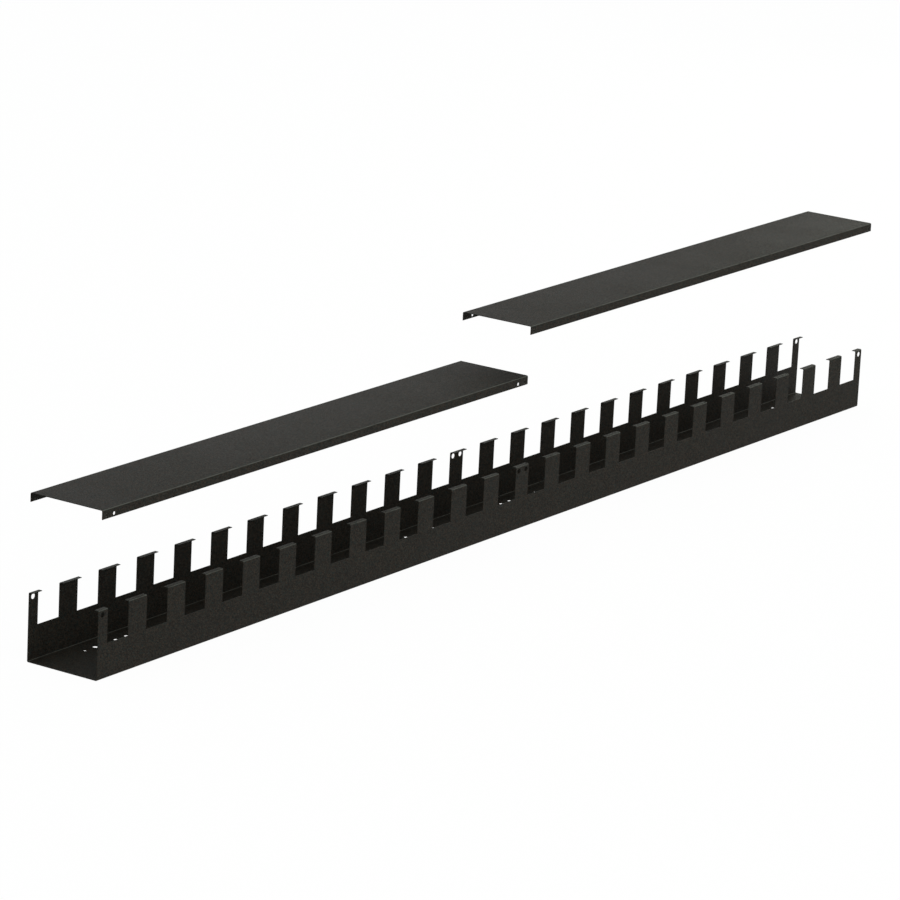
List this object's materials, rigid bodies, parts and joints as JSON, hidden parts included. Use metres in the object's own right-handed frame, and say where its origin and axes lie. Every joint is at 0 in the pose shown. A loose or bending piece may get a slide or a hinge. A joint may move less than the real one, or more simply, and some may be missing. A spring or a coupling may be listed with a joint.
{
  "type": "vertical cable manager",
  "caption": "Vertical cable manager: a folded steel channel with rows of cable fingers along both walls and two clip-on covers.",
  "frame": {"origin": "middle of the mounting face, which is the outside of the channel's floor", "axes": "+X along the length from the lower end to the upper end, +Y across, +Z from the mounting face out to the finger tips"},
  "size_m": [1.963, 0.121, 0.3066],
  "materials": {
    "channel_powder_coat": "fine-textured black powder coat",
    "cover_powder_coat": "fine-textured black powder coat"
  },
  "bodies": {
    "channel": {"finger_channel": "channel_powder_coat"},
    "lower_cover": {"lower_cover": "cover_powder_coat"},
    "upper_cover": {"upper_cover": "cover_powder_coat"}
  },
  "joints": [
    {"name": "lower_cover_slide", "type": "slide", "parent": "channel", "child": "lower_cover", "axis": [0, 0, 1], "range_m": [-0.1354, 0]},
    {"name": "upper_cover_slide", "type": "slide", "parent": "channel", "child": "upper_cover", "axis": [0, 0, 1], "range_m": [-0.2091, 0]}
  ]
}
